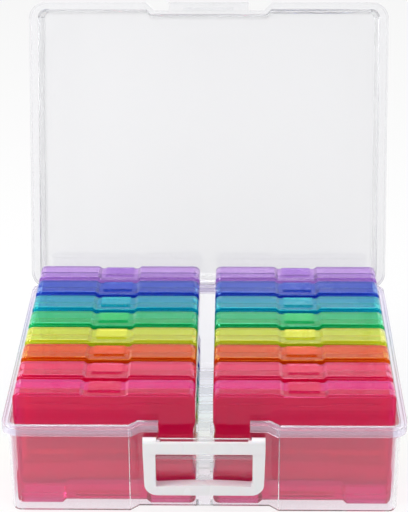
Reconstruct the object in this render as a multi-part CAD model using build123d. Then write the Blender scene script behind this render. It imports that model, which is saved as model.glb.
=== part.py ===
from build123d import *
import math
import os

# A clear carrying case with a hinged lid and a swinging handle, holding two columns
# of thin coloured photo cases. All sizes are in millimetres.
# X runs to the right, Y to the back, Z up. The origin is the middle of the underside.

# ---- photo cases ----
COLOURS = ["pink", "rose", "orange", "lime", "green", "teal", "blue", "violet"]
case_width = 169.0
case_height = 118.5
case_thickness = 26.5
case_wall = 1.3
case_corner = 6.0
corner_chords = 4
cover_depth = 11.7
front_slant = 1.2
seam_gap = 0.2
row_gap = 8.7
column_gap = 16.4

top_notch_half = 19.0
top_notch_depth = 2.5
top_notch_run = 3.5
bottom_notch_half = 38.0
bottom_notch_depth = 3.8
side_notch_depth = 1.8
side_notch_run = 7.0
side_notch_low = 38.0
side_notch_high = 81.0

panel_border = 10.5
panel_step = 0.6
panel_corner = 3.0
hollow_corner = 3.0

latch_half = 14.8
latch_thickness = 1.3
latch_reach = 13.8
latch_gap = 0.3
latch_bead = 0.6
hinge_leaf_half = 30.0
hinge_leaf_thickness = 1.4
hinge_leaf_reach = 5.0
hinge_bead = 0.7
bead_gap = 0.1

# ---- base tub ----
wall = 2.0
floor = 2.5
side_clearance = 2.4
front_clearance = 1.2
back_clearance = 5.6
draft = 0.3
foot_round = 3.5
tub_corner = 9.5
rim_height = 94.0
flange_overhang = 5.9
flange_thickness = 2.0
skirt_drop = 8.5
skirt_thickness = 1.8
recess_half = 61.0
recess_depth = 8.3
rim_gap_half = 42.6
rim_gap_depth = 19.0
rib_height = 10.0
rib_thickness = 1.6
rib_clearance = 0.5
fin_thickness = 2.4
fin_clearance = 0.3
fin_length = 13.0
fin_height = 79.0
ledge_half = 44.4
ledge_top = 62.0
ledge_reach = 7.5
ledge_drop = 5.0
ledge_thickness = 1.6

# ---- lid ----
closed_height = 130.0
lid_draft = 2.5
lid_wall = 2.0
lid_inner_inset = 8.0
lid_overlap_side = 3.0
lid_overlap_end = 1.0
lid_recess_depth = 5.0
lid_round = 4.0
lid_skirt_rise = 8.0
lid_lean = 18.0
panel_inset_side = 16.2
panel_inset_front = 24.9
panel_inset_back = 27.7
lid_panel_step = 1.0
lid_panel_corner = 4.0
tab_clearance = 0.4
catch_half = 26.5
catch_thickness = 1.3
catch_clearance = 0.4
catch_toe_reach = 2.0
catch_toe_height = 2.0
catch_toe_gap = 0.6

# ---- lid hinge ----
hinge_spacing = 232.0
hinge_drop = 5.4
knuckle_reach = 4.0
knuckle_width = 18.0
ear_thickness = 4.0
hinge_pin_radius = 2.4
hinge_running_gap = 0.05
hinge_side_gap = 0.5
hinge_sweep_gap = 0.7
arm_front = 1.0
stop_height = 2.4
stop_gap = 0.03

# ---- carrying handle ----
handle_width = 113.4
handle_arm = 11.6
handle_thickness = 11.4
handle_bottom = 21.7
grip_height = 8.9
grip_bow = 1.8
loop_taper = 1.2
loop_set_back = 0.8
handle_corner = 12.0
opening_corner = 2.0
bar_bottom = 66.7
bar_top = 79.5
bar_plate = 2.0
bar_flange = 2.0
bar_flange_depth = 9.0
pivot_height = 77.6
boss_radius = 4.4
handle_pin_radius = 1.8
handle_running_gap = 0.06
lug_thickness = 3.0
lug_reach = 3.0
lug_side_gap = 0.6
lug_sweep_gap = 0.2
handle_front_inset = 0.1

# ---- places that follow from the sizes above ----
rows = len(COLOURS)
row_pitch = case_thickness + row_gap
rows_depth = rows * row_pitch - row_gap
inner_half_width = column_gap / 2 + case_width + side_clearance
front_inner_depth = front_clearance + recess_depth
inner_depth = front_inner_depth + rows_depth + back_clearance
inner_half_depth = inner_depth / 2
first_case_front = -inner_half_depth + front_inner_depth
draft_slope = math.tan(math.radians(draft))
lid_slope = math.tan(math.radians(lid_draft))
wall_half_width = inner_half_width + wall
wall_half_depth = inner_half_depth + wall
flange_half_width = wall_half_width + flange_overhang
flange_half_depth = wall_half_depth + flange_overhang
lid_ceiling = closed_height - lid_wall
hinge_y = flange_half_depth
hinge_z = rim_height - hinge_drop
ear_reach = hinge_drop - hinge_sweep_gap
pivot_y = -flange_half_depth + handle_front_inset + boss_radius
recess_wall_y = -wall_half_depth + recess_depth
lug_inner_x = handle_width / 2 - handle_arm - lug_side_gap - lug_thickness - 1.0
block_inner_x = lug_inner_x + lug_thickness + lug_side_gap
OVER = 1.0


def along_x(outline, low, high):
    """Extrude an outline drawn in Y and Z from one X to another."""
    return extrude(Plane.YZ.offset(low) * outline, high - low)


def along_y(outline, front, back):
    """Extrude an outline drawn in X and Z from one Y to another."""
    return extrude(Plane.XZ.offset(-back) * outline, back - front)


def along_z(outline, bottom, top):
    """Extrude an outline drawn in X and Y from one Z to another."""
    return extrude(Plane.XY.offset(bottom) * outline, top - bottom)


def block(x, y, z):
    """A box from its three (low, high) ranges."""
    size = Box(x[1] - x[0], y[1] - y[0], z[1] - z[0])
    return Pos((x[0] + x[1]) / 2, (y[0] + y[1]) / 2, (z[0] + z[1]) / 2) * size


def rod(radius, x, y, z):
    """A round bar along X from a (low, high) range and its axis."""
    return along_x(Pos(y, z) * Circle(radius), x[0], x[1])


def octagon(reach, y, z):
    """An eight-sided outline in Y and Z, with its flats at one reach from the middle."""
    return Pos(y, z) * Rot(0, 0, 22.5) * RegularPolygon(reach, 8, major_radius=False)


def outer_corners(face):
    """The four corners of an outline that lie furthest out along its diagonals."""
    found = []
    for right in (-1, 1):
        for up in (-1, 1):
            found.append(max(face.vertices(), key=lambda v: right * v.X + up * v.Y))
    return found


def both_sides(piece):
    """A piece and its mirror image on the other side of the middle plane."""
    return piece + mirror(piece, about=Plane.YZ)


# ---- plan outlines of the tub and lid ----
def plan_outline(inset, recess=recess_depth, wider=0.0, deeper=0.0):
    """The base flange's outline from above, drawn in by an inset, with its front recess."""
    half_width = flange_half_width + wider - inset
    half_depth = flange_half_depth + deeper - inset
    bottom = recess_half - flange_overhang * math.tan(math.pi / 8) + inset * math.tan(math.pi / 8)
    front = -half_depth
    points = [
        (-half_width, front),
        (-bottom - recess, front),
        (-bottom, front + recess),
        (bottom, front + recess),
        (bottom + recess, front),
        (half_width, front),
        (half_width, half_depth),
        (-half_width, half_depth),
    ]
    face = make_face(Polyline(*points, close=True))
    corner = tub_corner + flange_overhang + (wider + deeper) / 2 - inset
    return fillet(outer_corners(face), corner)


def plan_layer(bottom, top, low_inset, high_inset, recess=recess_depth):
    """A layer between two heights whose outline slants from one inset to another."""
    taper = math.degrees(math.atan((high_inset - low_inset) / (top - bottom)))
    outline = Plane.XY.offset(bottom) * plan_outline(low_inset, recess)
    return extrude(outline, top - bottom, taper=taper)


def rim_band(inner_inset, bottom, top):
    """A band of the base flange's outline between two heights."""
    return along_z(plan_outline(0) - plan_outline(inner_inset), bottom, top)


# ---- base tub ----
def tub_outside():
    """The outside of the tub: drafted walls over an edge rounded in two slants."""
    upright = foot_round * (1 - math.sqrt(0.5))
    foot_inset = flange_overhang + foot_round
    knee_inset = flange_overhang + upright
    knee_top = flange_overhang - foot_round * draft_slope
    rim_inset = flange_overhang - rim_height * draft_slope
    solid = plan_layer(0, upright, foot_inset, knee_inset)
    solid += plan_layer(upright, foot_round, knee_inset, knee_top)
    solid += plan_layer(foot_round, rim_height, knee_top, rim_inset)
    return solid


def tub_inside():
    """The space inside the tub's walls, up past the rim."""
    low = flange_overhang + wall - floor * draft_slope
    top = rim_height + OVER
    return plan_layer(floor, top, low, low - (top - floor) * draft_slope)


def tub_rim():
    """The flange round the rim with its hanging skirt."""
    inside = flange_overhang + wall / 2 - rim_height * draft_slope
    flange = rim_band(inside, rim_height - flange_thickness, rim_height)
    skirt = rim_band(skirt_thickness, rim_height - skirt_drop, rim_height)
    return flange + skirt


def rim_gap():
    """What is cut out of the front rim for the lid's tab."""
    x = (-rim_gap_half, rim_gap_half)
    y = (-flange_half_depth - OVER, first_case_front)
    z = (rim_height - rim_gap_depth, rim_height + OVER)
    return block(x, y, z)


def floor_ribs():
    """Low ribs across the floor, a pair in each gap between rows of photo cases."""
    ribs = []
    reach = row_gap / 2 - rib_clearance - rib_thickness / 2
    for row in range(1, rows):
        gap_middle = first_case_front + row * row_pitch - row_gap / 2
        for middle in (gap_middle - reach, gap_middle + reach):
            x = (-inner_half_width - wall / 2, inner_half_width + wall / 2)
            y = (middle - rib_thickness / 2, middle + rib_thickness / 2)
            ribs.append(block(x, y, (floor / 2, floor + rib_height)))
    return ribs


def front_fins():
    """Two upright fins on the front wall that keep the two columns apart."""
    outside = column_gap / 2 - fin_clearance
    x = (outside - fin_thickness, outside)
    y = (recess_wall_y + wall / 2, first_case_front + fin_length)
    return both_sides(block(x, y, (floor / 2, floor + fin_height)))


def front_ledge():
    """The narrow shelf with a hanging lip under the handle's bar."""
    front = recess_wall_y - ledge_reach
    back = recess_wall_y + wall / 2
    x = (-ledge_half, ledge_half)
    shelf = block(x, (front, back), (ledge_top - ledge_thickness, ledge_top))
    lip = block(x, (front, front + ledge_thickness), (ledge_top - ledge_drop, ledge_top))
    return shelf + lip


def handle_lugs():
    """Two lugs on the front wall that carry the handle's pins."""
    wall_y = recess_wall_y + wall / 2
    low = rim_height - rim_gap_depth - 5.5
    high = rim_height - rim_gap_depth
    head = octagon(lug_reach, pivot_y, pivot_height)
    root = Polyline((wall_y, low), (wall_y, high), (pivot_y, pivot_height), close=True)
    profile = make_hull(head.edges() + root.edges())
    lug = along_x(profile, lug_inner_x, lug_inner_x + lug_thickness)
    bore = rod(
        handle_pin_radius + handle_running_gap,
        (lug_inner_x - OVER, lug_inner_x + lug_thickness + OVER),
        pivot_y,
        pivot_height,
    )
    return both_sides(lug - bore)


def back_wall_y(height):
    """Where the drafted outside of the back wall is, at a height."""
    return wall_half_depth + height * math.tan(math.radians(draft))


def hinge_notches():
    """The gaps in the back rim where the lid's knuckles turn."""
    half = knuckle_width / 2 + hinge_side_gap
    x = (hinge_spacing / 2 - half, hinge_spacing / 2 + half)
    y = (back_wall_y(rim_height), flange_half_depth + OVER)
    z = (rim_height - skirt_drop - OVER, rim_height + OVER)
    return both_sides(block(x, y, z))


def hinge_ears():
    """An ear at the outer end of each notch, with the bore that holds the lid's pin."""
    low = hinge_spacing / 2 + knuckle_width / 2 + hinge_side_gap
    high = low + ear_thickness
    ear = along_x(octagon(ear_reach, hinge_y, hinge_z), low, high)
    ear += block((low, high), (back_wall_y(0), hinge_y), (hinge_z, hinge_z + ear_reach))
    return both_sides(ear)


def hinge_bores():
    """The bores through the ears."""
    low = hinge_spacing / 2 + knuckle_width / 2 + hinge_side_gap
    radius = hinge_pin_radius + hinge_running_gap
    return both_sides(rod(radius, (low, low + ear_thickness), hinge_y, hinge_z))


def case_base():
    """The clear tub in one moulding."""
    tub = tub_outside() + tub_rim() - tub_inside() - rim_gap()
    for rib in floor_ribs():
        tub += rib
    tub += front_fins()
    tub += front_ledge()
    tub += handle_lugs()
    tub = tub - hinge_notches() + hinge_ears() - hinge_bores()
    return tub


# ---- lid, modelled shut ----
def lid_outside():
    """The outside of the lid: drafted walls under an edge rounded in two slants."""
    foot_inset = lid_inner_inset - lid_wall
    knee = closed_height - lid_round
    knee_inset = foot_inset + (knee - rim_height) * lid_slope
    shoulder = closed_height - lid_round * (1 - math.sqrt(0.5))
    shoulder_inset = knee_inset + lid_round * (1 - math.sqrt(0.5))
    solid = plan_layer(rim_height, knee, foot_inset, knee_inset, lid_recess_depth)
    solid += plan_layer(knee, shoulder, knee_inset, shoulder_inset, lid_recess_depth)
    top_inset = knee_inset + lid_round
    solid += plan_layer(shoulder, closed_height, shoulder_inset, top_inset, lid_recess_depth)
    return solid


def lid_inside():
    """The space inside the lid, with one slant round the ceiling."""
    cut = lid_round - lid_wall
    knee = lid_ceiling - cut
    bottom = rim_height - OVER
    low_inset = lid_inner_inset - OVER * lid_slope
    knee_inset = lid_inner_inset + (knee - rim_height) * lid_slope
    solid = plan_layer(bottom, knee, low_inset, knee_inset, lid_recess_depth)
    solid += plan_layer(knee, lid_ceiling, knee_inset, knee_inset + cut, lid_recess_depth)
    return solid


def lid_panel(grow=0.0):
    """The outline of the sunken panel in the lid's top."""
    half_x = flange_half_width - panel_inset_side + grow
    front = -flange_half_depth + panel_inset_front - grow
    back = flange_half_depth - panel_inset_back + grow
    panel = RectangleRounded(2 * half_x, back - front, lid_panel_corner + grow)
    return Pos(0, (front + back) / 2) * panel


def lid_flange_outline(inset):
    """The lid flange's outline, which overlaps the base flange on every side."""
    return plan_outline(inset, recess_depth, lid_overlap_side, lid_overlap_end)


def lid_rim():
    """The lid's flange with its standing skirt."""
    outside = lid_flange_outline(0)
    inside = plan_outline(lid_inner_inset - lid_wall / 2)
    flange = along_z(outside - inside, rim_height, rim_height + flange_thickness)
    band = outside - lid_flange_outline(skirt_thickness)
    return flange + along_z(band, rim_height, rim_height + lid_skirt_rise)


def lid_tab():
    """The tab that fills the gap in the base rim, with the catch under it."""
    half = rim_gap_half - tab_clearance
    front = -flange_half_depth - lid_overlap_end
    back = front + recess_depth + skirt_thickness / 2
    plate = block((-half, half), (front, back), (rim_height, rim_height + flange_thickness))
    lip_z = (rim_height - skirt_drop, rim_height + lid_skirt_rise)
    lip = block((-half, half), (front, front + skirt_thickness), lip_z)
    raised_bar_back = pivot_y + bar_top - pivot_height
    raised_bar_underside = pivot_height + boss_radius - bar_plate
    stem_front = raised_bar_back + catch_clearance
    toe_top = raised_bar_underside - catch_toe_gap
    toe_z = (toe_top - catch_toe_height, toe_top)
    stem_y = (stem_front, stem_front + catch_thickness)
    catch_x = (-catch_half, catch_half)
    stem = block(catch_x, stem_y, (toe_z[0], rim_height + flange_thickness / 2))
    toe = block(catch_x, (raised_bar_back - catch_toe_reach, stem_y[1]), toe_z)
    return plate + lip + stem + toe


def lid_knuckles():
    """The lid's two hinge knuckles, each with an arm up to the flange and a pin outside."""
    low = hinge_spacing / 2 - knuckle_width / 2
    high = hinge_spacing / 2 + knuckle_width / 2
    knuckle = along_x(octagon(knuckle_reach, hinge_y, hinge_z), low, high)
    arm_y = (hinge_y - arm_front, hinge_y + knuckle_reach)
    knuckle += block((low, high), arm_y, (hinge_z, rim_height + flange_thickness))
    pin_end = high + hinge_side_gap / 2 + ear_thickness
    knuckle += rod(hinge_pin_radius, (high - OVER, pin_end), hinge_y, hinge_z)
    return both_sides(knuckle)


def lid_stops():
    """Heels on the knuckles, drawn where they meet the back wall when the lid is open."""
    low = hinge_spacing / 2 - knuckle_width / 2
    high = hinge_spacing / 2 + knuckle_width / 2
    heel = Polyline(
        (back_wall_y(hinge_z) + stop_gap, hinge_z),
        (back_wall_y(hinge_z - stop_height) + stop_gap, hinge_z - stop_height),
        (hinge_y, hinge_z - knuckle_reach),
        (hinge_y, hinge_z + knuckle_reach),
        close=True,
    )
    return both_sides(along_x(make_face(heel), low, high))


def case_lid():
    """The clear lid in one moulding, turned up to where it leans open."""
    lid = lid_outside() + lid_rim() - lid_inside()
    lid -= along_z(lid_panel(), closed_height - lid_panel_step, closed_height + OVER)
    lid += along_z(lid_panel(lid_panel_step), lid_ceiling - lid_panel_step, lid_ceiling)
    lid += lid_tab()
    lid += lid_knuckles()
    hinge = Axis((0, hinge_y, hinge_z), (1, 0, 0))
    return lid.rotate(hinge, -(90 + lid_lean)) + lid_stops()


# ---- carrying handle, hanging down ----
def handle_front_outline():
    """The handle's outline from the front, with its finger opening."""
    half = handle_width / 2
    points = [
        (-half + loop_taper, handle_bottom),
        (half - loop_taper, handle_bottom),
        (half, bar_bottom),
        (half, pivot_height + boss_radius),
        (-half, pivot_height + boss_radius),
        (-half, bar_bottom),
    ]
    face = make_face(Polyline(*points, close=True))
    lower = face.vertices().group_by(Axis.Y)[0]
    face = fillet(lower, handle_corner)
    inside = half - handle_arm
    grip_top = handle_bottom + grip_height
    crown = ThreePointArc((-inside, grip_top), (0, grip_top + grip_bow), (inside, grip_top))
    rest = Polyline((inside, grip_top), (inside, bar_bottom), (-inside, bar_bottom), (-inside, grip_top))
    opening = make_face([crown] + list(rest.edges()))
    opening = fillet(opening.vertices(), opening_corner)
    above = Pos(0, (bar_top + pivot_height + boss_radius + OVER) / 2)
    above *= Rectangle(2 * block_inner_x, pivot_height + boss_radius + OVER - bar_top)
    return face - opening - above


def handle_side_outline():
    """The handle's outline from the side: a round boss over a deep arm."""
    front = pivot_y - boss_radius
    back = front + handle_thickness
    arm = Polyline(
        (front + loop_set_back, handle_bottom),
        (back, handle_bottom),
        (back, bar_bottom),
        (pivot_y + boss_radius, pivot_height),
        (front, pivot_height),
        (front, bar_bottom),
        (front + loop_set_back, bar_bottom),
        close=True,
    )
    return make_face(arm) + Pos(pivot_y, pivot_height) * Circle(boss_radius)


def carry_handle():
    """The white handle in one moulding, with its pins and its open-topped bar."""
    half = handle_width / 2
    front = pivot_y - boss_radius
    back = front + handle_thickness
    body = along_y(handle_front_outline(), front - OVER, back + OVER)
    body &= along_x(handle_side_outline(), -half - OVER, half + OVER)
    flange_top = bar_bottom + bar_flange
    hollow_z = (flange_top, bar_top + OVER)
    hollow = block((-block_inner_x, block_inner_x), (front + bar_plate, back + OVER), hollow_z)
    shallow_y = (front + bar_flange_depth, back + OVER)
    shallow = block((-block_inner_x, block_inner_x), shallow_y, (bar_bottom - OVER, bar_top))
    body = body - hollow - shallow
    relief_x = (lug_inner_x - lug_side_gap, block_inner_x)
    relief_y = (pivot_y - lug_reach - lug_sweep_gap, back)
    body -= both_sides(block(relief_x, relief_y, hollow_z))
    pin_x = (lug_inner_x + lug_side_gap / 2, block_inner_x + OVER)
    body += both_sides(rod(handle_pin_radius, pin_x, pivot_y, pivot_height))
    return body


# ---- photo cases, drawn about the middle of their own underside and front ----
def case_corner_points(z, first_angle):
    """Points round a right-hand corner of a photo case, which is drawn in short chords."""
    middle_x = case_width / 2 - case_corner
    points = []
    for step in range(corner_chords + 1):
        angle = math.radians(first_angle + 90 * step / corner_chords)
        points.append((middle_x + case_corner * math.cos(angle), z + case_corner * math.sin(angle)))
    return points


def mirrored_outline(right):
    """A closed outline from the points of its right half, bottom to top."""
    left = [(-x, z) for x, z in reversed(right)]
    return make_face(Polyline(*right, *left, close=True))


def case_outline():
    """The outline of a photo case from the front, with its notches."""
    half = case_width / 2
    right = [(bottom_notch_half, bottom_notch_depth)]
    right += [(bottom_notch_half + bottom_notch_depth, 0)]
    right += case_corner_points(case_corner, -90)
    right += [(half, side_notch_low - side_notch_run)]
    right += [(half - side_notch_depth, side_notch_low)]
    right += [(half - side_notch_depth, side_notch_high)]
    right += [(half, side_notch_high + side_notch_run)]
    right += case_corner_points(case_height - case_corner, 0)
    right += [(top_notch_half + top_notch_run, case_height)]
    right += [(top_notch_half, case_height - top_notch_depth)]
    return mirrored_outline(right)


def case_hollow(front, back):
    """The space inside a photo case, clear of all its notches."""
    half = case_width / 2 - side_notch_depth - case_wall
    low = bottom_notch_depth + case_wall
    high = case_height - top_notch_depth - case_wall
    face = Pos(0, (low + high) / 2) * Rectangle(2 * half, high - low)
    return along_y(chamfer(face.vertices(), hollow_corner), front, back)


def panel_outline():
    """The raised panel on the cover, which follows the notches above and below."""
    half = case_width / 2 - panel_border
    low = panel_border
    high = case_height - panel_border
    right = [(bottom_notch_half, low + bottom_notch_depth)]
    right += [(bottom_notch_half + bottom_notch_depth, low)]
    right += [(half - panel_corner, low), (half, low + panel_corner)]
    right += [(half, high - panel_corner), (half - panel_corner, high)]
    right += [(top_notch_half + top_notch_run, high)]
    right += [(top_notch_half, high - top_notch_depth)]
    return mirrored_outline(right)


def latch_prism(height, grow):
    """The latch's three-sided bead, across the case, or its groove when grown."""
    top = case_height - top_notch_depth
    middle = cover_depth + latch_reach - 2.0
    size = latch_bead + grow
    ridge = Polyline(
        (middle - size, top + height),
        (middle, top + height - size - latch_gap),
        (middle + size, top + height),
        close=True,
    )
    reach = latch_half + grow
    return along_x(make_face(ridge), -reach, reach)


def hinge_prism(grow):
    """The hinge leaf's three-sided bead, along the case, or its groove when grown."""
    middle = cover_depth + hinge_leaf_reach - 2.0
    size = hinge_bead + grow
    under = bottom_notch_depth - latch_gap
    ridge = Polyline((middle - size, under), (middle, under + size), (middle + size, under), close=True)
    reach = hinge_leaf_half + grow
    return along_x(make_face(ridge), -reach, reach)


def photo_case_tray():
    """The deeper back shell, with grooves for the latch's and the hinge's beads."""
    front = cover_depth + seam_gap
    tray = along_y(case_outline(), front, case_thickness)
    tray -= case_hollow(front - OVER, case_thickness - case_wall)
    tray -= latch_prism(0.0, bead_gap)
    tray -= hinge_prism(bead_gap)
    return tray


def photo_case_cover():
    """The shallow front shell: slanted front edge, panel, latch tongue and hinge leaf."""
    cover = along_y(case_outline(), front_slant, cover_depth)
    cover += extrude(Plane.XZ.offset(-front_slant) * case_outline(), front_slant, taper=45)
    cover -= case_hollow(case_wall + panel_step, cover_depth + OVER)
    surround = Pos(0, case_height / 2) * Rectangle(case_width + OVER, case_height + OVER)
    cover -= along_y(surround - panel_outline(), -OVER, panel_step)
    latch_bottom = case_height - top_notch_depth + latch_gap
    latch_y = (cover_depth - 3.0, cover_depth + latch_reach)
    latch_z = (latch_bottom, latch_bottom + latch_thickness)
    cover += block((-latch_half, latch_half), latch_y, latch_z)
    root_y = (cover_depth - 3.0, cover_depth - 1.0)
    root_z = (latch_bottom - latch_gap - case_wall / 2, latch_bottom + latch_thickness)
    cover += block((-latch_half, latch_half), root_y, root_z)
    cover += latch_prism(latch_gap, 0.0)
    leaf_top = bottom_notch_depth - latch_gap
    leaf_y = (cover_depth - 3.0, cover_depth + hinge_leaf_reach)
    leaf_z = (leaf_top - hinge_leaf_thickness, leaf_top)
    cover += block((-hinge_leaf_half, hinge_leaf_half), leaf_y, leaf_z)
    leaf_root_z = (leaf_top - hinge_leaf_thickness, bottom_notch_depth + case_wall / 2)
    cover += block((-hinge_leaf_half, hinge_leaf_half), root_y, leaf_root_z)
    cover += hinge_prism(0.0)
    return cover


def photo_case_places():
    """Each photo case's name and the place of its front, bottom middle."""
    places = []
    for row, colour in enumerate(COLOURS):
        front = first_case_front + row * row_pitch
        for side, sign in (("left", -1), ("right", 1)):
            middle = sign * (column_gap + case_width) / 2
            places.append((colour + "_" + side, (middle, front, floor)))
    return places


def main():
    os.makedirs("parts", exist_ok=True)
    pieces = {
        "case_base": case_base(),
        "case_lid": case_lid(),
        "carry_handle": carry_handle(),
    }
    tray = photo_case_tray()
    cover = photo_case_cover()
    for name, place in photo_case_places():
        pieces[name + "_tray"] = Pos(*place) * tray
        pieces[name + "_cover"] = Pos(*place) * cover
    for name, piece in pieces.items():
        export_step(piece, "parts/" + name + ".step")
    print("pieces", len(pieces))
    print("flange", 2 * flange_half_width, 2 * flange_half_depth)
    print("hinge axis", hinge_y, hinge_z)
    print("handle axis", pivot_y, pivot_height)
    print("first case front", first_case_front)


main()
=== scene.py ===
# %% [markdown]
# # A clear keeper case, open, full of coloured photo cases
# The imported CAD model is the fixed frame: a clear tub, a clear lid, a white handle and
# sixteen thin cases. This lesson gives it light, a camera and moulded plastics, and rounds
# the sharp CAD edges the way a mould does, without touching the CAD meshes themselves.

import math

import bmesh
import bpy
from mathutils import Matrix, Vector

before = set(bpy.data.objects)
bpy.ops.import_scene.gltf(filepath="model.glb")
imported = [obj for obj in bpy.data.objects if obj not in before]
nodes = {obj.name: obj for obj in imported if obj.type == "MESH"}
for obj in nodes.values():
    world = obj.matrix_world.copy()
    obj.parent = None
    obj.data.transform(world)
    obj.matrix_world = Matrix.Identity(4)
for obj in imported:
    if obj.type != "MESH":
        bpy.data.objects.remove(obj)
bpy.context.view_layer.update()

# %% [markdown]
# ## Camera
# The photograph was taken with a long lens from a little over table height, almost square
# to the front. Straight edges of the object were measured in the picture and the camera
# was fitted to them, so its place and turn are written here as plain numbers. Building the
# turn from three unit vectors keeps the picture's small tilt.

# %% Place the camera
PHOTO_LONG_SIDE = 512  # pixels
SENSOR_WIDTH = 36.0  # millimetres
focal_pixels = 1733.4
camera_place = Vector((0.02386, -1.52277, 0.91242))
yaw, pitch, roll = (math.radians(a) for a in (-0.9646, 25.126, -0.2335))

forward = Vector((
    math.sin(yaw) * math.cos(pitch), math.cos(yaw) * math.cos(pitch), -math.sin(pitch)))
level = Vector((math.cos(yaw), -math.sin(yaw), 0.0))
upright = level.cross(forward)
right = math.cos(roll) * level + math.sin(roll) * upright
up = -math.sin(roll) * level + math.cos(roll) * upright

camera_data = bpy.data.cameras.new("photo_camera")
camera_data.sensor_width = SENSOR_WIDTH
camera_data.lens = focal_pixels * SENSOR_WIDTH / PHOTO_LONG_SIDE
camera_data.clip_start, camera_data.clip_end = 0.01, 30.0
camera = bpy.data.objects.new("photo_camera", camera_data)
turn = Matrix((right, up, -forward)).transposed()
camera.matrix_world = Matrix.Translation(camera_place) @ turn.to_4x4()
bpy.context.scene.collection.objects.link(camera)
bpy.context.scene.camera = camera
print("lens:", round(camera_data.lens, 1), "mm")

# %% [markdown]
# ## Studio
# Clear plastic only looks like plastic when it has something pale around it to bend and
# mirror. The floor and the room around it stay white for every ray that the eye could follow:
# straight from the camera, mirrored or through the plastic. For all other light the floor is
# a plain matte surface, so the object still throws a soft shadow and picks up no false glow.

# %% Helpers for node trees
def node_adder(tree):
    """A shorthand that adds a node to a tree and sets its inputs or properties by name."""
    def add(kind, **values):
        node = tree.nodes.new(kind)
        for key, value in values.items():
            if key in node.inputs:
                node.inputs[key].default_value = value
            else:
                setattr(node, key, value)
        return node

    return add


def new_material(name):
    """An empty node material, with its way to link, its output node and its node adder."""
    material = bpy.data.materials.new(name)
    material.use_nodes = True
    tree = material.node_tree
    tree.nodes.clear()
    output = tree.nodes.new("ShaderNodeOutputMaterial")
    return material, tree.links.new, output, node_adder(tree)


# %% White studio surface
def seen_rays(add, link):
    """One socket that is 1 for camera, glossy and transmission rays and 0 for the rest."""
    path = add("ShaderNodeLightPath")
    first = add("ShaderNodeMath", operation="MAXIMUM")
    link(path.outputs["Is Camera Ray"], first.inputs[0])
    link(path.outputs["Is Glossy Ray"], first.inputs[1])
    second = add("ShaderNodeMath", operation="MAXIMUM")
    link(first.outputs[0], second.inputs[0])
    link(path.outputs["Is Transmission Ray"], second.inputs[1])
    return second.outputs[0]


def studio_white(name, glow):
    """Matte white that is lifted to a share of pure white where it is seen."""
    material, link, output, add = new_material(name)
    matte = add("ShaderNodeBsdfDiffuse")
    matte.inputs["Color"].default_value = (0.9, 0.9, 0.9, 1.0)
    bright = add("ShaderNodeEmission", Strength=1.0)
    share = add("ShaderNodeMath", operation="MULTIPLY")
    share.inputs[1].default_value = glow
    link(seen_rays(add, link), share.inputs[0])
    mix = add("ShaderNodeMixShader")
    link(share.outputs[0], mix.inputs[0])
    link(matte.outputs[0], mix.inputs[1])
    link(bright.outputs[0], mix.inputs[2])
    link(mix.outputs[0], output.inputs["Surface"])
    return material


floor_white = studio_white("floor_white", 0.8)
print("studio material:", floor_white.name)

# %% Floor
def add_object(name, mesh_builder):
    """Link a new object whose mesh is shaped by mesh_builder on a bmesh."""
    mesh = bpy.data.meshes.new(name)
    shape = bmesh.new()
    mesh_builder(shape)
    shape.to_mesh(mesh)
    shape.free()
    made = bpy.data.objects.new(name, mesh)
    bpy.context.scene.collection.objects.link(made)
    return made


def floor_shape(shape):
    """A square that reaches far behind the object and lies a hair below its underside."""
    half_side, toward_back, gap_below = 6.0, 2.0, 0.0004
    bmesh.ops.create_grid(shape, x_segments=1, y_segments=1, size=half_side)
    bmesh.ops.translate(shape, verts=shape.verts, vec=(0.0, toward_back, -gap_below))


floor = add_object("floor", floor_shape)
floor.data.materials.append(floor_white)
print("floor at z", floor.data.vertices[0].co.z)

# %% World light
world = bpy.data.worlds.new("pale_room")
bpy.context.scene.world = world
world.use_nodes = True
room = world.node_tree
room.nodes.clear()
room_link = room.links.new
add_room_node = node_adder(room)
WHITE = (1.0, 1.0, 1.0, 1.0)
soft = add_room_node("ShaderNodeBackground", Color=WHITE, Strength=0.48)
white = add_room_node("ShaderNodeBackground", Color=WHITE, Strength=1.0)
room_mix = add_room_node("ShaderNodeMixShader")
room_out = add_room_node("ShaderNodeOutputWorld")
room_link(seen_rays(add_room_node, room_link), room_mix.inputs[0])
room_link(soft.outputs[0], room_mix.inputs[1])
room_link(white.outputs[0], room_mix.inputs[2])
room_link(room_mix.outputs[0], room_out.inputs["Surface"])
print("world strength:", soft.inputs["Strength"].default_value)

# %% [markdown]
# ## Lamps
# One lamp hangs at the left, one broad lamp over the top and a weak one at the right, as in a
# product studio. The photograph has small bright dashes on the left corners of the cases: they
# are the left lamp, mirrored in the sloping front edge of each cover. A cover's slope, the
# camera and the lamp fix each other, and that is how the lamp's place was found.

# %% Soft lamps
def soft_lamp(name, place, target, size, power):
    """Hang a rectangular lamp at a place and aim it at a point."""
    lamp_data = bpy.data.lights.new(name, "AREA")
    lamp_data.shape = "RECTANGLE"
    lamp_data.size, lamp_data.size_y = size
    lamp_data.energy = power
    lamp = bpy.data.objects.new(name, lamp_data)
    lamp.location = place
    aim = Vector(target) - Vector(place)
    lamp.rotation_euler = aim.to_track_quat("-Z", "Y").to_euler()
    bpy.context.scene.collection.objects.link(lamp)


# name: place, the point it is aimed at, its width and height, its power in watts
LAMPS = {
    "key_lamp": ((-1.3, -0.53, 0.73), (0.0, 0.0, 0.12), (0.55, 0.4), 12.5),
    "top_lamp": ((0.1, 0.1, 1.7), (0.0, 0.0, 0.0), (1.2, 1.2), 15.5),
    "right_lamp": ((1.3, -0.6, 0.9), (0.0, 0.0, 0.1), (0.6, 0.8), 4.5),
}
for name, (place, target, size, power) in LAMPS.items():
    soft_lamp(name, place, target, size, power)

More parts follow.
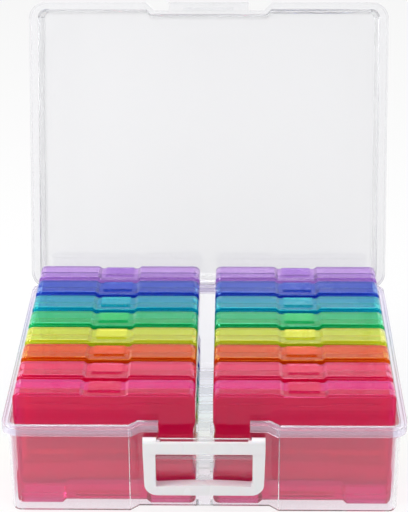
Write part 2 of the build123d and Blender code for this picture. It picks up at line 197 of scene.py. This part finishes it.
# %% [markdown]
# ## Moulded plastics
# Every piece is injection moulded, so each finish starts from the same surface: a faint long
# waviness from the mould, and a patchy softness in the gloss. What differs is how much light
# goes through. The clear pieces let nearly all of it through and swallow a little on the way,
# which helps to draw their edges. Their rounded edges are painted as well: a painted highlight
# on the tub's edges and painted shade on the lid's edges, which draw their outlines. Above its
# rim's underside the tub is drawn paler, lilac and less clear. The tinted pieces scatter part
# of the light, and the handle lets none through.

# %% Mould surface
PLASTIC_IOR = 1.49


def mould_surface(add, link, shaders, wave, gloss_low, gloss_high):
    """Join a soft waviness and a patchy roughness to each Principled shader of a plastic."""
    where = add("ShaderNodeTexCoord")
    ripple = add("ShaderNodeTexNoise", Scale=38.0, Detail=2.0, Roughness=0.5)
    bump = add("ShaderNodeBump", Strength=wave, Distance=0.0006)
    patch = add("ShaderNodeTexNoise", Scale=14.0, Detail=3.0, Roughness=0.55)
    spread = add("ShaderNodeMapRange", **{
        "From Min": 0.3, "From Max": 0.7, "To Min": gloss_low, "To Max": gloss_high})
    link(where.outputs["Object"], ripple.inputs["Vector"])
    link(where.outputs["Object"], patch.inputs["Vector"])
    link(ripple.outputs["Fac"], bump.inputs["Height"])
    link(patch.outputs["Fac"], spread.inputs["Value"])
    for shader in shaders:
        link(bump.outputs["Normal"], shader.inputs["Normal"])
        link(spread.outputs["Result"], shader.inputs["Roughness"])


# %% Light through plastic
def let_light_in(add, link, shader, tint, turns):
    """Let lamp light and bounced light straight through a plastic, coloured by its tint.

    A ray that has already turned a number of times also goes straight on, because it would
    otherwise run along inside a thin wall until it dies, and draw the wall's edges black."""
    path = add("ShaderNodeLightPath")
    bounced = add("ShaderNodeMath", operation="MAXIMUM")
    link(path.outputs["Is Shadow Ray"], bounced.inputs[0])
    link(path.outputs["Is Diffuse Ray"], bounced.inputs[1])
    tired = add("ShaderNodeMath", operation="GREATER_THAN")
    link(path.outputs["Ray Depth"], tired.inputs[0])
    tired.inputs[1].default_value = turns
    either = add("ShaderNodeMath", operation="MAXIMUM")
    link(bounced.outputs[0], either.inputs[0])
    link(tired.outputs[0], either.inputs[1])
    straight = add("ShaderNodeBsdfTransparent")
    straight.inputs["Color"].default_value = (*tint, 1.0)
    mix = add("ShaderNodeMixShader")
    link(either.outputs[0], mix.inputs[0])
    link(shader, mix.inputs[1])
    link(straight.outputs["BSDF"], mix.inputs[2])
    return mix.outputs[0]


# %% Clear plastic
CLEAR_WALL = (0.96, 0.96, 0.96)  # the share of light that one wall lets straight through
RIM_UNDERSIDE = 0.0853  # metres above the table: all of the tub above this is drawn paler, lilac and less clear


def pale_band_above(height, add, link, clear, pale_band):
    """Mix a clear shader with a paler, lilac, less clear one, which takes over above a height
    on the object.
    """
    where = add("ShaderNodeTexCoord")
    axes = add("ShaderNodeSeparateXYZ")
    link(where.outputs["Object"], axes.inputs["Vector"])
    above = add("ShaderNodeMath", operation="GREATER_THAN")
    link(axes.outputs["Z"], above.inputs[0])
    above.inputs[1].default_value = height
    mix = add("ShaderNodeMixShader")
    link(above.outputs[0], mix.inputs[0])
    link(clear.outputs["BSDF"], mix.inputs[1])
    link(pale_band.outputs["BSDF"], mix.inputs[2])
    return mix.outputs[0]


def clear_plastic(name, colour, through, swallow, turns, pale_height=None):
    """Water-clear plastic: light goes through, dimmed a little by the thickness it crosses."""
    material, link, output, add = new_material(name)
    shader = add("ShaderNodeBsdfPrincipled", IOR=PLASTIC_IOR)
    shader.inputs["Base Color"].default_value = (*colour, 1.0)
    shader.inputs["Transmission Weight"].default_value = through
    mould_surface(add, link, [shader], 0.12, 0.06, 0.12)
    surface = shader.outputs["BSDF"]
    if pale_height is not None:
        # Above the height the tub is drawn paler, lilac and less clear.
        pale_band = add("ShaderNodeBsdfPrincipled", IOR=PLASTIC_IOR, Roughness=0.2)
        pale_band.inputs["Base Color"].default_value = (0.90, 0.865, 0.97, 1.0)
        pale_band.inputs["Transmission Weight"].default_value = 0.9
        surface = pale_band_above(pale_height, add, link, shader, pale_band)
    seen = let_light_in(add, link, surface, CLEAR_WALL, turns)
    link(seen, output.inputs["Surface"])
    depth = add("ShaderNodeVolumeAbsorption", Density=swallow)
    depth.inputs["Color"].default_value = (0.6, 0.63, 0.68, 1.0)
    link(depth.outputs["Volume"], output.inputs["Volume"])
    return material


clear_tub = clear_plastic(
    "clear_tub_plastic", (0.965, 0.965, 0.99), through=0.99, swallow=3.0, turns=3.5,
    pale_height=RIM_UNDERSIDE)
clear_lid = clear_plastic(
    "clear_lid_plastic", (0.885, 0.885, 0.9), through=0.82, swallow=7.0, turns=4.5)
# Grey plastic for the lid's rounded edges: painted shade that draws the lid's outlines.
lid_edge_painted_shade = clear_plastic(
    "lid_edge_plastic", (0.62, 0.62, 0.64), through=0.3, swallow=3.0, turns=3.5)
# Pale plastic for the tub's rounded edges: a painted highlight along them.
tub_edge_painted_highlight = clear_plastic(
    "clear_edge_plastic", (0.91, 0.90, 0.94), through=0.3, swallow=3.0, turns=3.5)
print("clear plastics:", clear_tub.name, clear_lid.name, lid_edge_painted_shade.name, tub_edge_painted_highlight.name)

# %% Tinted plastic
def tinted_plastic(name, skin, tint, through):
    """Tinted plastic: part of the light comes back in full colour, the rest goes through."""
    material, link, output, add = new_material(name)
    body = add("ShaderNodeBsdfPrincipled", IOR=PLASTIC_IOR)
    body.inputs["Base Color"].default_value = (*skin, 1.0)
    clear = add("ShaderNodeBsdfPrincipled", IOR=PLASTIC_IOR)
    clear.inputs["Base Color"].default_value = (*tint, 1.0)
    clear.inputs["Transmission Weight"].default_value = 1.0
    gloss = tuple(0.6 + 0.4 * c for c in tint)  # mirrored light keeps a little of the tint
    for shader in (body, clear):
        shader.inputs["Specular Tint"].default_value = (*gloss, 1.0)
    mould_surface(add, link, [body, clear], 0.10, 0.04, 0.11)
    both = add("ShaderNodeMixShader")
    both.inputs[0].default_value = through
    link(body.outputs["BSDF"], both.inputs[1])
    link(clear.outputs["BSDF"], both.inputs[2])
    straight = tuple(math.sqrt(c) for c in tint)  # per face, and a wall has two faces
    seen = let_light_in(add, link, both.outputs[0], straight, turns=7.5)
    link(seen, output.inputs["Surface"])
    return material


def from_screen(red, green, blue):
    """The linear colour of a screen colour given in 0 to 255."""
    def linear(c):
        return c / 12.92 if c <= 0.04045 else ((c + 0.055) / 1.055) ** 2.4

    return tuple(linear(c / 255.0) for c in (red, green, blue))


# For each case: the screen colours of its tray and its cover, and the share of red, green
# and blue that one wall lets through.
CASE_COLOURS = {
    "pink": ((232, 28, 160), (216, 0, 82), (0.96, 0.16, 0.48)),
    "rose": ((244, 30, 112), (246, 12, 104), (0.98, 0.37, 0.58)),
    "orange": ((242, 78, 0), (252, 80, 0), (0.99, 0.52, 0.06)),
    "lime": ((222, 232, 66), (255, 255, 60), (0.99, 0.99, 0.34)),
    "green": ((4, 200, 142), (0, 222, 126), (0.15, 0.92, 0.58)),
    "teal": ((0, 166, 200), (0, 200, 212), (0.06, 0.86, 0.90)),
    "blue": ((52, 86, 205), (16, 72, 210), (0.24, 0.46, 0.92)),
    "violet": ((206, 170, 234), (158, 104, 208), (0.77, 0.58, 0.92)),
}
tray_plastic = {}
cover_plastic = {}
for name, (tray_screen, cover_screen, tint) in CASE_COLOURS.items():
    tray_skin, cover_skin = from_screen(*tray_screen), from_screen(*cover_screen)
    tray_plastic[name] = tinted_plastic(
        name + "_tray_plastic", tray_skin, tint, through=0.74)
    cover_plastic[name] = tinted_plastic(
        name + "_cover_plastic", cover_skin, tint, through=0.87)
print("tinted plastics:", len(tray_plastic) + len(cover_plastic))

# %% White plastic
def white_plastic(name, colour):
    """Opaque plastic with a soft gloss, which light enters a little way."""
    material, link, output, add = new_material(name)
    shader = add("ShaderNodeBsdfPrincipled", IOR=1.5)
    shader.inputs["Base Color"].default_value = (*colour, 1.0)
    shader.inputs["Subsurface Weight"].default_value = 0.15
    shader.inputs["Subsurface Scale"].default_value = 0.002
    mould_surface(add, link, [shader], 0.10, 0.22, 0.32)
    link(shader.outputs["BSDF"], output.inputs["Surface"])
    return material


handle_white = white_plastic("handle_white_plastic", (0.79, 0.793, 0.805))
print("white plastic:", handle_white.name)

# %% [markdown]
# ## Dressing the CAD nodes
# A CAD mesh stays as it is, but an object may carry modifiers. Weld joins its loose
# triangles, and Bevel then rounds what was a knife edge. The rounded edges are what catch
# the lamps, and they are what tells the eye that a thing was moulded. On the tub and the lid
# the rounded faces also carry a painted edge colour: a painted highlight on the tub and
# painted shade on the lid.

# %% Assign plastics and round the edges
FINE_EDGE = 0.0006  # metres, as are the next two
HANDLE_EDGE = 0.0008
COVER_EDGE = 0.0004  # small, because a cover's sloping front edge is narrow


def dress(node, material, radius, edge=None):
    """Give a CAD node its plastic and its moulded edges, which may take a second plastic that
    paints light or shade on them.
    """
    node.data.materials.clear()
    node.data.materials.append(material)
    weld = node.modifiers.new("join_triangles", "WELD")
    weld.merge_threshold = 0.00001  # metres
    rounding = node.modifiers.new("moulded_edges", "BEVEL")
    rounding.width = radius
    rounding.segments = 2
    rounding.limit_method = "ANGLE"
    rounding.angle_limit = math.radians(35)
    if edge is not None:
        # The rounded faces take the painted edge colour: a painted highlight or painted shade.
        node.data.materials.append(edge)
        rounding.material = 1


# The tub's edges carry a painted highlight, the lid's edges painted shade.
dress(nodes["case_base"], clear_tub, FINE_EDGE, tub_edge_painted_highlight)
dress(nodes["case_lid"], clear_lid, FINE_EDGE, lid_edge_painted_shade)
dress(nodes["carry_handle"], handle_white, HANDLE_EDGE)
for name in CASE_COLOURS:
    for side in ("left", "right"):
        dress(nodes[f"{name}_{side}_tray"], tray_plastic[name], FINE_EDGE)
        dress(nodes[f"{name}_{side}_cover"], cover_plastic[name], COVER_EDGE)
print("dressed", len(nodes), "nodes")

# %% Finish
bpy.context.scene.view_settings.view_transform = "Standard"
